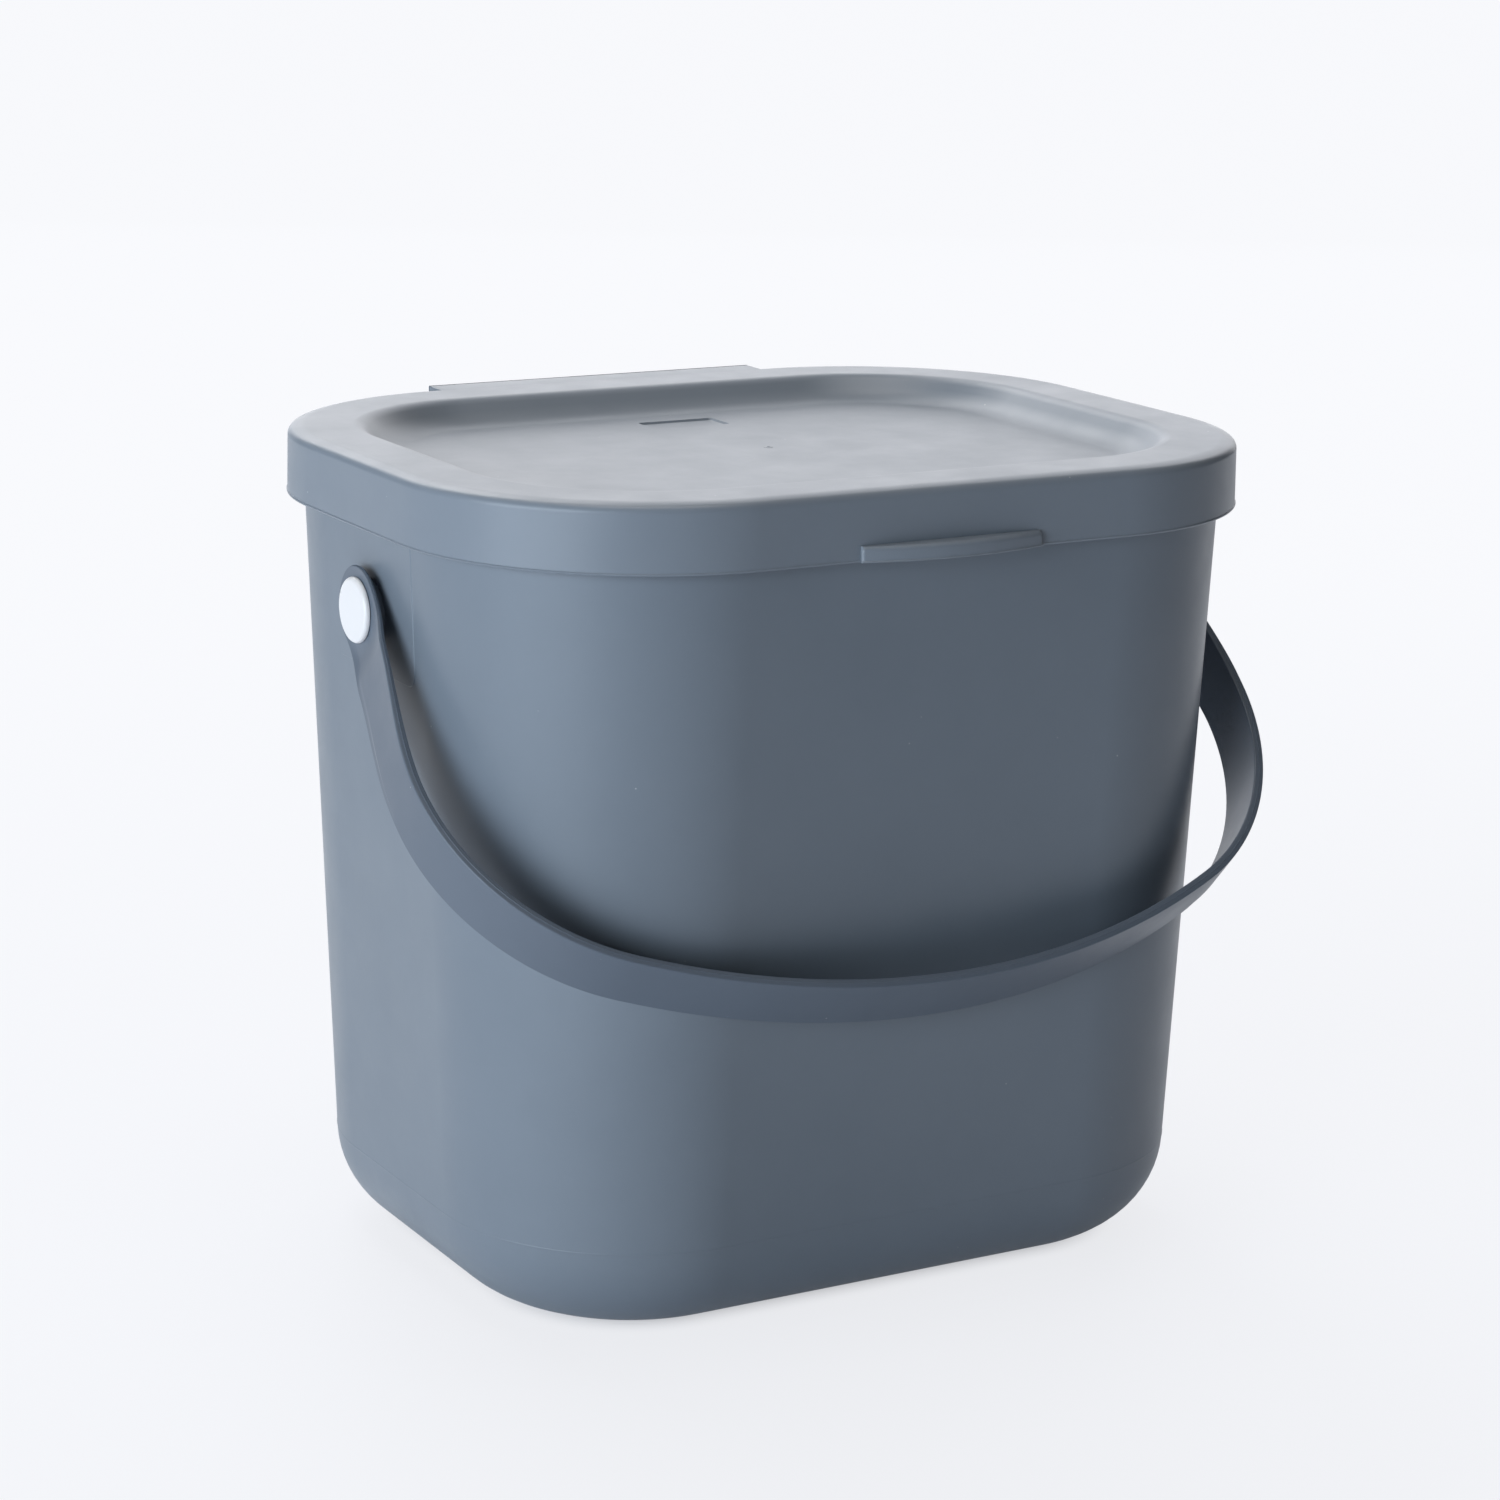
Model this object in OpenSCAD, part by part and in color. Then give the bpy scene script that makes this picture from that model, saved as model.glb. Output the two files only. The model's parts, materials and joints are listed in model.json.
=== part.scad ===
// Compost caddy: a drafted tub with a clip-on hinged lid and a swinging bail handle.
// Z is up, the lifting tab is at the front (-Y), the hinge at the back (+Y). Millimetres.

/* [Bucket] */
// Overall height with the lid closed
height = 208; // [180:1:260]
// Width over the straight walls at floor level, before the floor edge is rounded
base_w = 200.4; // [184:0.2:240]
// Depth over the straight walls at floor level, before the floor edge is rounded
base_d = 153.8; // [140:0.2:200]
// Corner radius of the wall at floor level
corner_r = 49.9; // [44:0.1:56]
// Draft of the walls in degrees
draft = 2.31; // [1.5:0.01:3]
// Moulded wall thickness
wall = 2; // [1.6:0.1:2.6]
// Thickness of the floor
floor_t = 2.6; // [2:0.1:4]
// Radius of the rounded edge round the floor
floor_r = 24.9; // [12:0.1:30]
// How far the rim bead stands out from the wall
bead_out = 0.7; // [0.4:0.1:1]
// Height of the rim bead
bead_h = 4; // [3:0.1:6]
// Rounding of the rim's two top edges
rim_round = 1.1; // [0.6:0.1:1.2]

/* [Lid] */
// Gap from the bucket wall line at the rim to the outside of the skirt
overhang = 4; // [3.6:0.1:6]
// Depth of the skirt from the lid's top
skirt_h = 16.5; // [14:0.1:22]
// Thickness of the skirt
skirt_t = 2; // [1.6:0.1:2.2]
// How much the skirt narrows towards the top
skirt_draft = 0.45; // [0.1:0.05:0.7]
// Radius of the edge between the skirt and the top
lid_edge_r = 2.4; // [1:0.1:3]
// Thickness of the lid's top
plate_t = 2.2; // [1.8:0.1:3]
// Width of the flat ring round the recessed panel
ring_w = 18.7; // [12:0.1:24]
// Depth of the recessed panel
panel_depth = 6.5; // [3:0.1:9]
// Slope of the panel's border, in degrees from upright
panel_slope = 45; // [30:1:55]
// Hollow radius at the foot of the panel's border
panel_foot_r = 12; // [4:0.5:16]
// Rounding of the edge where the ring meets that border
panel_lip_r = 5; // [1:0.5:6]
// Width of the bare shallow pocket in the panel
pocket_w = 22; // [12:0.5:40]
// Length of the pocket from front to back
pocket_l = 10.6; // [6:0.2:20]
// Depth of the pocket
pocket_depth = 0.5; // [0.2:0.1:1]
// How far the pocket's middle is to the right of the lid's middle
pocket_x = 3.3; // [-20:0.1:20]
// How far the pocket's middle is behind the lid's middle
pocket_y = 47.4; // [0:0.2:50]

/* [Lifting tab] */
// Width of the tab
tab_w = 50; // [30:1:70]
// How far the middle of the tab stands out from the skirt
tab_out = 4.8; // [3:0.1:9]
// How far the ends of the tab stand out from the skirt
tab_end_out = 1.2; // [0.6:0.1:2.5]
// Height of the tab
tab_h = 3.8; // [2.5:0.1:6]
// Rounding of the tab's upper edge
tab_round = 1.3; // [0.5:0.1:2]

/* [Hinge] */
// Width of the hood that covers the hinge
hood_w = 97; // [70:1:100]
// How far the hood stands out behind the skirt
hood_out = 5.5; // [5:0.1:7]
// Thickness of the hood's walls
hood_t = 1.9; // [1.5:0.1:2]
// Rounding of the hood's top edge
hood_round = 1.2; // [0.5:0.1:1.8]
// How far the hood's lip hangs below the hinge axis
hood_lip = 4.3; // [3:0.1:5]
// Distance of the hinge axis from the bucket wall
axis_out = 5.6; // [5.4:0.1:6.5]
// Distance of the hinge axis below the skirt
axis_drop = 5.5; // [5.2:0.1:8]
// Radius of the hinge bar
bar_r = 2.5; // [2:0.1:2.8]
// Running clearance of the clips on the bar
bar_fit = 0.08; // [0.04:0.01:0.1]
// Thickness of the clips round the bar
clip_t = 1.8; // [1.4:0.1:2]
// Width of each clip
clip_w = 16; // [10:1:20]
// Half the opening angle of the clips' mouth
mouth = 50; // [40:1:55]
// Thickness of the ears that carry the bar
ear_t = 4; // [3:0.5:6]
// How far the ears' round ends stand proud of the bar
ear_proud = 0.2; // [0.1:0.05:0.4]

/* [Handle] */
// Distance of the pivots below the lid's top
pivot_drop = 37; // [32:1:55]
// Reach of the bail from the pivots to its middle
reach = 126.3; // [118:0.1:150]
// Radius of the bow along the middle of the bail
bow_r = 199.8; // [170:0.2:300]
// Radius of the bail's two corners
bail_corner_r = 61.4; // [50:0.2:75]
// How far the arms bulge out past the lid
arm_out = 4.5; // [4.4:0.1:9]
// Radius of the arms' gentle curve
arm_r = 200.5; // [160:0.5:300]
// Width of the strap
strap_w = 17.2; // [14:0.2:20]
// Thickness of the strap
strap_t = 2; // [1.6:0.1:2.2]
// How far the strap's raised outer face stands out
face_h = 0.5; // [0.3:0.1:0.8]
// Width of the lower margin along the strap's back edge, on the arms
margin_w = 2.4; // [1.5:0.1:3]
// Width of that margin at the middle of the bail
grip_margin_w = 5; // [3:0.1:6]
// Radius of the eyes
eye_r = 10.8; // [9.5:0.1:12]

/* [Pivot pins] */
// Radius of the pin's shank
shank_r = 3.5; // [2.5:0.1:4.5]
// Running clearance of the eye on the shank
shank_fit = 0.08; // [0.04:0.01:0.1]
// Radius of the button head
head_r = 8.05; // [6.5:0.05:9]
// Thickness of the button head
head_t = 1.5; // [1.2:0.1:2.4]
// Rounding of the head's edge
head_round = 0.6; // [0.3:0.1:0.8]
// How far the barb stands out from the shank
barb_out = 0.8; // [0.5:0.1:1.1]
// Length of the barb inside the wall
barb_l = 3.2; // [2.5:0.1:4.5]
// Width of the slot that lets the barb close up
slot_w = 1.6; // [1:0.1:2.2]
// Radius of the boss that the eye stands off on
boss_r = 7.2; // [5.5:0.1:8.5]
// How far the boss stands out from the wall
boss_h = 1.6; // [1.2:0.1:2.2]

/* [Clearances] */
// Gap between the lid and the rim it rests on
seat_gap = 0.3; // [0.2:0.05:0.5]
// Gap of the eye against the boss and round the head
side_gap = 0.3; // [0.2:0.05:0.5]
// Gap between the resting bail and the front wall
lean_gap = 0.3; // [0.2:0.05:0.6]
// Gap between the outer ears and the hood's cheeks
end_gap = 1.5; // [1:0.1:2.5]
// Gap between the ears and the foot of the skirt
top_gap = 1.2; // [1:0.1:1.6]

/* [Hidden] */
$fn = 96;
// Overlap of shapes that are joined edge to edge, and how far cutters run past a face
eps = 0.01;
past = 1;

// Plan of the bucket and the lid: both are sections carried round the same four corner centres
corner_x = base_w / 2 - corner_r;
corner_y = base_d / 2 - corner_r;
slope = tan(draft);
rim_z = height - plate_t - seat_gap;
function wall_r(z) = corner_r + z * slope;
inner_r = corner_r - wall / cos(draft);

// Lid, measured from the corner centres
skirt_z = height - skirt_h;
lid_r = wall_r(rim_z) + overhang;
skirt_back = corner_y + lid_r;
panel_r = lid_r - ring_w;
panel_z = height - panel_depth;

// Hinge
axis_z = skirt_z - axis_drop;
axis_y = corner_y + wall_r(axis_z) + axis_out;
hood_back = skirt_back + hood_out;
hood_z = axis_z - hood_lip;
clip_r = bar_r + bar_fit + clip_t;
ear_x = hood_w / 2 - hood_t - end_gap - ear_t / 2;
ear_top = axis_drop - top_gap;
clip_x = ear_x / 2;

// Pivots: the eye turns between the boss and the button head, whose seat is cut through the
// strap's raised face
pivot_z = height - pivot_drop;
boss_face = corner_x + wall_r(pivot_z) + boss_h;
eye_x = boss_face + side_gap + strap_t / 2;
seat_face = eye_x + strap_t / 2;
head_face = seat_face + side_gap;

// Bail, drawn flat: u is across the bucket, v runs from the pivots to the middle of the strap
arm_u = corner_x + lid_r + arm_out;
corner_u = arm_u - bail_corner_r;
bow_v = reach - bow_r;
corner_v = bow_v + sqrt(pow(bow_r - bail_corner_r, 2) - pow(corner_u, 2));
// The eye is flat as far as foot_v. From there the strap steps out to the arm, and it is out at
// arm_v, before its edge can reach the lid's skirt
foot_v = head_r + 2 * side_gap;
arm_v = sqrt(pow(skirt_z - pivot_z, 2) - pow(eye_r, 2));
function arm_at(g) = arm_u - arm_r + sqrt(pow(arm_r + g, 2) - pow(corner_v - arm_v, 2));
strap_half = strap_w / 2;
taper_v = 5 * eye_r;
far_v = reach + strap_t + face_h;

// The resting bail leans on the front corners of the bucket: the swing is closed until the
// inner back edge of the strap is lean_gap away from the wall
edge_turn = [for (i = [0:24]) i * 3];
function edge_point(a) =
    let (turn_at = atan2(corner_v - bow_v, corner_u))
    a < 90 - turn_at
        ? [(bow_r - strap_t / 2) * sin(a), bow_v + (bow_r - strap_t / 2) * cos(a)]
        : [corner_u + (bail_corner_r - strap_t / 2) * sin(a),
           corner_v + (bail_corner_r - strap_t / 2) * cos(a)];
function wall_gap(swing, p) =
    let (
        y = p[1] * sin(swing) - strap_half * cos(swing),
        z = pivot_z - p[1] * cos(swing) - strap_half * sin(swing)
    )
    norm([max(p[0] - corner_x, 0), max(y - corner_y, 0)]) - wall_r(z);
function least_gap(swing) = min([for (a = edge_turn) wall_gap(swing, edge_point(a))]);
function close_swing(low, high, steps) =
    steps == 0 ? high
    : least_gap((low + high) / 2) > lean_gap ? close_swing(low, (low + high) / 2, steps - 1)
    : close_swing((low + high) / 2, high, steps - 1);
rest_swing = close_swing(20, 90, 20);

// Carries a half-section (distance from the corner centre, height) round the plan
module sweep_plan() {
    for (quarter = [0:3])
        translate([(quarter == 0 || quarter == 3 ? 1 : -1) * corner_x, (quarter < 2 ? 1 : -1) * corner_y, 0])
            rotate([0, 0, quarter * 90])
                rotate_extrude(angle = 90)
                    children();
    for (side = [0, 180])
        rotate([0, 0, side]) {
            translate([corner_x, corner_y, 0])
                rotate([90, 0, 0])
                    linear_extrude(2 * corner_y)
                        children();
            rotate([0, 0, 90])
                translate([corner_y, corner_x, 0])
                    rotate([90, 0, 0])
                        linear_extrude(2 * corner_x)
                            children();
        }
}

// Fills the rectangle between the corner centres
module plan_core(z0, z1) {
    translate([-corner_x, -corner_y, z0])
        cube([2 * corner_x, 2 * corner_y, z1 - z0]);
}

// Draws a side-view outline (y, z) and runs it along X
module along_x(x0, x1) {
    translate([x0, 0, 0])
        rotate([90, 0, 90])
            linear_extrude(x1 - x0)
                children();
}

// Half-section of a tub: sloping wall, flat floor, rounded edge between them.
// r0 is the wall's radius at z = 0, lean its angle from upright
module tub_section(r0, lean, z0, z1, edge_r) {
    edge_z = z0 + edge_r;
    edge_x = r0 + edge_z * tan(lean) - edge_r / cos(lean);
    touch = [edge_x + edge_r * cos(lean), edge_z - edge_r * sin(lean)];
    difference() {
        polygon([[0, z0], [r0 + z0 * tan(lean), z0], [r0 + z1 * tan(lean), z1], [0, z1]]);
        difference() {
            polygon([
                [edge_x, z0 - past],
                [r0 + z0 * tan(lean) + edge_r, z0 - past],
                [r0 + z0 * tan(lean) + edge_r, touch[1]],
                touch,
                [edge_x, edge_z]
            ]);
            translate([edge_x, edge_z])
                circle(edge_r);
        }
    }
}

module rim_section() {
    inner = inner_r + rim_z * slope;
    outer = wall_r(rim_z) + bead_out;
    for (r = [inner + rim_round, outer - rim_round])
        translate([r, rim_z - rim_round])
            circle(rim_round);
    translate([inner + rim_round, rim_z - 2 * rim_round])
        square([outer - inner - 2 * rim_round, 2 * rim_round]);
    translate([inner, rim_z - bead_h])
        square([outer - inner, bead_h - rim_round]);
}

module bucket_shell() {
    sweep_plan()
        difference() {
            tub_section(corner_r, draft, 0, rim_z - rim_round, floor_r);
            tub_section(inner_r, draft, floor_t, rim_z, floor_r - wall);
        }
    plan_core(0, floor_t);
    sweep_plan()
        rim_section();
}

// The bar that the lid clips on to, carried by three ears
module hinge_bar() {
    along_x(-ear_x, ear_x)
        translate([axis_y, axis_z])
            circle(bar_r);
    for (x = [-ear_x, 0, ear_x])
        along_x(x - ear_t / 2, x + ear_t / 2) {
            translate([axis_y, axis_z])
                circle(bar_r + ear_proud);
            translate([axis_y, axis_z])
                polygon([
                    [0, -bar_r],
                    [0, bar_r],
                    [-axis_out - wall / 2, ear_top],
                    [-axis_out - wall / 2, 0]
                ]);
        }
}

module side_boss(side) {
    translate([side * (boss_face - boss_h - wall / 2), 0, pivot_z])
        rotate([0, side * 90, 0])
            cylinder(r = boss_r, h = boss_h + wall / 2);
}

module bucket() {
    color("#7d8995")
        difference() {
            union() {
                bucket_shell();
                hinge_bar();
                for (side = [-1, 1])
                    side_boss(side);
            }
            for (side = [-1, 1])
                translate([side * corner_x, 0, pivot_z])
                    rotate([0, side * 90, 0])
                        cylinder(r = shank_r + shank_fit, h = boss_face - corner_x + past);
        }
}

// Outline of the lid's solid block: drafted skirt, rounded edge, recessed panel
module lid_section() {
    top_r = lid_r - skirt_draft;
    difference() {
        union() {
            polygon([
                [0, skirt_z],
                [lid_r, skirt_z],
                [top_r, height - lid_edge_r],
                [0, height - lid_edge_r]
            ]);
            translate([0, height - 2 * lid_edge_r])
                square([top_r - lid_edge_r, 2 * lid_edge_r]);
            translate([top_r - lid_edge_r, height - lid_edge_r])
                circle(lid_edge_r);
        }
        tub_section(panel_r - height * tan(panel_slope), panel_slope, panel_z, height + past, panel_foot_r);
        panel_lip_cut();
    }
}

// What the rounding takes off where the ring meets the panel's border
module panel_lip_cut() {
    back = panel_lip_r * tan((90 - panel_slope) / 2);
    difference() {
        polygon([
            [panel_r + back, height + past],
            [panel_r - back, height + past],
            [panel_r - back * sin(panel_slope), height - back * cos(panel_slope)],
            [panel_r + back, height - panel_lip_r]
        ]);
        translate([panel_r + back, height - panel_lip_r])
            circle(panel_lip_r);
    }
}

// Space under the lid, with the underside of the recessed panel left standing in it
module lid_hollow_section() {
    grown_r = panel_r + plate_t / cos(panel_slope) - height * tan(panel_slope);
    difference() {
        polygon([
            [0, skirt_z - past],
            [lid_r - skirt_t, skirt_z - past],
            [lid_r - skirt_t - skirt_draft, height - plate_t],
            [0, height - plate_t]
        ]);
        tub_section(grown_r, panel_slope, panel_z - plate_t, height + past, panel_foot_r + plate_t);
    }
}

// The tab is a shallow arc with a rounded upper edge
module lifting_tab() {
    half = tab_w / 2;
    sag = tab_out - tab_end_out;
    arc_r = (half * half + sag * sag) / (2 * sag);
    sweep = asin(half / arc_r);
    root = tab_out + 3 * skirt_t;
    translate([0, -skirt_back - tab_out + arc_r, skirt_z])
        rotate([0, 0, 270 - sweep])
            rotate_extrude(angle = 2 * sweep) {
                translate([arc_r - root, 0])
                    square([root - tab_round, tab_h]);
                translate([arc_r - 2 * tab_round, 0])
                    square([2 * tab_round, tab_h - tab_round]);
                translate([arc_r - tab_round, tab_h - tab_round])
                    circle(tab_round);
            }
}

// Back wall and top of the hood, seen from the side
module hood_outline() {
    flat_back = skirt_back - skirt_draft - 2 * lid_edge_r;
    translate([hood_back - hood_t, hood_z])
        square([hood_t, height - hood_z - hood_round]);
    translate([flat_back, height - plate_t])
        square([hood_back - flat_back - hood_round, plate_t]);
    translate([hood_back - hood_round, height - hood_round])
        circle(hood_round);
}

module hood_gusset() {
    translate([skirt_back - skirt_t / 2 - skirt_draft, skirt_z])
        square([hood_back - hood_t / 2 - skirt_back + skirt_t / 2 + skirt_draft, skirt_h - plate_t / 2]);
}

module hood_cheek() {
    hood_gusset();
    translate([axis_y - bar_r / 2, hood_z])
        square([hood_back - axis_y + bar_r / 2 - hood_t / 2, skirt_z - hood_z + eps]);
}

// Clip seen from the side: a ring open at the bottom, joined to the hood's back wall
module clip_outline() {
    bite = clip_r / cos(mouth) + past;
    web = skirt_t / 2;
    difference() {
        union() {
            translate([axis_y, axis_z])
                circle(clip_r);
            translate([axis_y, axis_z])
                square([hood_back - hood_t / 2 - axis_y, skirt_z - axis_z + web]);
            translate([axis_y - web, axis_z + bar_r + web])
                square([2 * web, skirt_z - axis_z - bar_r]);
        }
        translate([axis_y, axis_z])
            circle(bar_r + bar_fit);
        translate([axis_y, axis_z])
            polygon([
                [0, 0],
                [-bite * sin(mouth), -bite * cos(mouth)],
                [bite * sin(mouth), -bite * cos(mouth)]
            ]);
    }
}

module hinge_hood() {
    half = hood_w / 2;
    along_x(-half, half)
        hood_outline();
    for (side = [-1, 1])
        along_x(side * (half - hood_t / 2) - hood_t / 2, side * (half - hood_t / 2) + hood_t / 2)
            hood_cheek();
    for (side = [-1, 1]) {
        along_x(side * clip_x - clip_w / 2, side * clip_x + clip_w / 2)
            clip_outline();
        for (end = [-1, 1])
            along_x(side * clip_x + end * (clip_w - hood_t) / 2 - hood_t / 2,
                    side * clip_x + end * (clip_w - hood_t) / 2 + hood_t / 2)
                hood_gusset();
    }
}

module lid() {
    color("#8d98a3")
        union() {
            difference() {
                union() {
                    sweep_plan()
                        lid_section();
                    plan_core(skirt_z, panel_z);
                    lifting_tab();
                }
                sweep_plan()
                    lid_hollow_section();
                plan_core(skirt_z - past, panel_z - plate_t);
                translate([pocket_x - pocket_w / 2, pocket_y - pocket_l / 2, panel_z - pocket_depth])
                    cube([pocket_w, pocket_l, pocket_depth + past]);
            }
            hinge_hood();
        }
}

// Everything inside the bail's centre line, grown by g: arms, corners and bow are all arcs
module bail_inside(g) {
    turn_at = atan2(corner_v - bow_v, corner_u);
    far = 2 * bow_r;
    intersection() {
        translate([arm_u - arm_r, corner_v])
            circle(arm_r + g, $fn = 360);
        translate([arm_r - arm_u, corner_v])
            circle(arm_r + g, $fn = 360);
        translate([-far, arm_v - eps])
            square([2 * far, corner_v - arm_v + eps]);
    }
    for (side = [-1, 1])
        intersection() {
            translate([side * corner_u, corner_v])
                circle(bail_corner_r + g, $fn = 180);
            translate([-far, corner_v - eps])
                square([2 * far, far]);
        }
    intersection() {
        translate([0, bow_v])
            circle(bow_r + g, $fn = 360);
        polygon([[0, bow_v], [far * cos(turn_at), bow_v + far * sin(turn_at)],
                 [-far * cos(turn_at), bow_v + far * sin(turn_at)]]);
        translate([-far, corner_v - eps])
            square([2 * far, far]);
    }
    translate([-corner_u, corner_v - eps])
        square([2 * corner_u, bail_corner_r / 2]);
}

// Strap between two offsets of the centre line, with its flat eyes and the steps out to the arms
module bail_strip(g0, g1) {
    difference() {
        bail_inside(g1);
        bail_inside(g0);
    }
    for (side = [-1, 1])
        polygon([
            [side * (eye_x + g0), -eye_r - past],
            [side * (eye_x + g1), -eye_r - past],
            [side * (eye_x + g1), foot_v],
            [side * arm_at(g1), arm_v],
            [side * arm_at(g0), arm_v],
            [side * (eye_x + g0), foot_v]
        ]);
}

// Side view of the bail: round eyes that taper into the strap
module bail_side() {
    circle(eye_r);
    polygon([
        [0, -eye_r],
        [taper_v, -strap_half],
        [far_v, -strap_half],
        [far_v, strap_half],
        [taper_v, strap_half],
        [0, eye_r]
    ]);
}

// The raised face leaves a margin along the back edge, from nothing at the eyes to its full
// width at the middle of the bail
module bail_face_side() {
    difference() {
        bail_side();
        polygon([
            [eye_r, 2 * eye_r],
            [eye_r, eye_r],
            [taper_v, strap_half - margin_w],
            [reach, strap_half - grip_margin_w],
            [far_v, strap_half - grip_margin_w],
            [far_v, 2 * eye_r]
        ]);
    }
}

// Turns a flat outline (v, width) into a bar across the whole bail
module across_bail() {
    half = arm_u + strap_t + face_h;
    translate([-half, 0, 0])
        rotate([90, 0, 90])
            linear_extrude(2 * half)
                children();
}

module bail() {
    difference() {
        union() {
            intersection() {
                translate([0, 0, -eye_r - past])
                    linear_extrude(2 * (eye_r + past))
                        bail_strip(-strap_t / 2, strap_t / 2);
                across_bail()
                    bail_side();
            }
            intersection() {
                translate([0, 0, -eye_r - past])
                    linear_extrude(2 * (eye_r + past))
                        bail_strip(0, strap_t / 2 + face_h);
                across_bail()
                    bail_face_side();
            }
        }
        for (side = [-1, 1])
            rotate([0, side * 90, 0]) {
                cylinder(r = shank_r + shank_fit, h = 2 * arm_u);
                translate([0, 0, seat_face])
                    cylinder(r = head_r + side_gap, h = arm_u);
            }
    }
}

module handle() {
    color("#75818d")
        translate([0, 0, pivot_z])
            rotate([270 - rest_swing, 0, 0])
                bail();
}

// Barbed pin along +Z: shank from the slotted barb to the button head
module barbed_pin() {
    neck_l = head_face - (corner_x + inner_r + pivot_z * slope) + 2 * side_gap;
    difference() {
        rotate_extrude() {
            translate([0, -neck_l - barb_l])
                square([shank_r - barb_out, barb_l + past]);
            translate([0, -neck_l])
                square([shank_r, neck_l + head_t / 2]);
            polygon([
                [0, -neck_l - barb_l],
                [shank_r - barb_out, -neck_l - barb_l],
                [shank_r + barb_out, -neck_l - barb_l / 4],
                [shank_r + barb_out, -neck_l],
                [0, -neck_l]
            ]);
            square([head_r - head_round, head_t]);
            square([head_r, head_t - head_round]);
            translate([head_r - head_round, head_t - head_round])
                circle(head_round);
        }
        translate([-slot_w / 2, -head_r, -neck_l - barb_l - past])
            cube([slot_w, 2 * head_r, barb_l + past + neck_l / 2]);
    }
}

module pivot_pin(side) {
    color("#f4f6f8")
        translate([side * head_face, 0, pivot_z])
            rotate([0, side * 90, 0])
                barbed_pin();
}

module left_pivot_pin() {
    pivot_pin(-1);
}

module right_pivot_pin() {
    pivot_pin(1);
}

bucket();
lid();
handle();
left_pivot_pin();
right_pivot_pin();
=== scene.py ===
"""A compost caddy with a hinged lid and a swinging bail handle, on a pale studio floor.

The tub, lid, handle and pivot pins are modelled in millimetres on the frame's own axes: +Z up, the
lifting tab at -Y, the hinge at +Y, the pivots on X. Each mesh is turned into metres when it is done.
"""
import json
from math import acos, asin, atan2, cos, degrees, radians, sin, sqrt, tan

import bmesh
import bpy
from mathutils import Matrix, Vector


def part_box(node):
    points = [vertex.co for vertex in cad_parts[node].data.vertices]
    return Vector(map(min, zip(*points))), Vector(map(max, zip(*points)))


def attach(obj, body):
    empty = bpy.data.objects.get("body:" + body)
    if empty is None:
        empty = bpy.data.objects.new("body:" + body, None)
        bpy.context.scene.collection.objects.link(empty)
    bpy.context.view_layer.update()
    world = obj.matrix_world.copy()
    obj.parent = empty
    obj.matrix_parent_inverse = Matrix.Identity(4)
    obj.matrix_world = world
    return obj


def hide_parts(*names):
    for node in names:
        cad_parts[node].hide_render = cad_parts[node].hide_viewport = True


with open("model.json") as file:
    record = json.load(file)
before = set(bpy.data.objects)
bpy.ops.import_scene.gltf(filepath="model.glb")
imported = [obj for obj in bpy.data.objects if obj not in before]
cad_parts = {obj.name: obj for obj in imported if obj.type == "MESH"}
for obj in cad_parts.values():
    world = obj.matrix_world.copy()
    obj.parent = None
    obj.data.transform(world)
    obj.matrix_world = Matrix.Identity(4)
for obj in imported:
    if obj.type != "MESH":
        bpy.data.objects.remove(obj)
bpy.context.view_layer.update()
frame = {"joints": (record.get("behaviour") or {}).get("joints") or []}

MM = 0.001
near = 0.01  # what counts as touching, in millimetres


# ---------------------------------------------------------------- sizes, in millimetres

def cad_edge(node, corner, axis):
    """One face of a CAD node's box, in millimetres."""
    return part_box(node)[corner][axis] / MM


def joint_place(name):
    """Where a joint's axis passes, in millimetres."""
    joint = next(j for j in frame["joints"] if j["name"] == name)
    return Vector(joint["pos_m"]) / MM


height = cad_edge("lid", 1, 2)

# Tub: the corners' centres and outer radius at the base, then the wall, floor, rim and mould marks
corner_x = 50.3
corner_y = 27
corner_r = 49.9
draft = radians(2.31)
wall = 2
floor_t = 2.6
floor_r = 24.9
bead_out = 0.7
bead_h = 4
rim_round = 1.1
rim_z = cad_edge("bucket", 1, 2)
parting_z = 24.7
parting_out = 0.1
parting_half_w = 0.3
slide_half_w = 23.1
slide_low_z = 155.6
slide_corner_r = 4
slide_out = 0.16
gate_dimple_r = 5
gate_dimple_depth = 0.5
gate_dimple_ramp_w = 0.6

# Lid: its corners are round the tub's own centres
lid_r = 62.19
skirt_h = 16.5
skirt_t = 2
skirt_draft = 0.45
skirt_lip = 0.24
skirt_lip_h = 0.4
skirt_lip_ramp_h = 0.3
skirt_inner_edge = 0.3
lid_edge_r = 2
lid_crown_r = 10
lid_crown_angle = 18
plate_t = 2.2
ring_w = 18.7
panel_depth = 6.5
panel_slope = radians(45)
panel_foot_r = 12
panel_lip_r = 5
pocket = {"x": 3.3, "y": 47.4, "width": 22, "length": 10.6, "depth": 0.5,
          "round": 0.8, "taper": (0.96, 0.92)}
lid_gate = (5.2, 6.2)
tab_w = 50
tab_out = 4.8
tab_end_out = 1.2
tab_h = 3.8
tab_round = 1.3
tab_root = 8
tab_foot_round = 0.3
tab_foot_h = 0.5
tab_end_round = 0.8
tab_lift = 0.06

# Hinge: the lid's hood and clips, and the tub's bar on its ears
hood_w = 97
hood_out = 5.5
hood_t = 1.9
hood_round = 1.2
hood_top_round = 0.8
hood_overlap = 3
bar_r = 2.5
bar_fit = 0.08
clip_t = 1.8
clip_w = 16
mouth_angle = 50
ear_t = 4
ear_x = 43.1
ear_root = 5.6
ear_top = 4.3
ear_proud = 0.2
ear_sweep = 200
ear_round = 0.4
gusset_lift = 0.01

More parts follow.
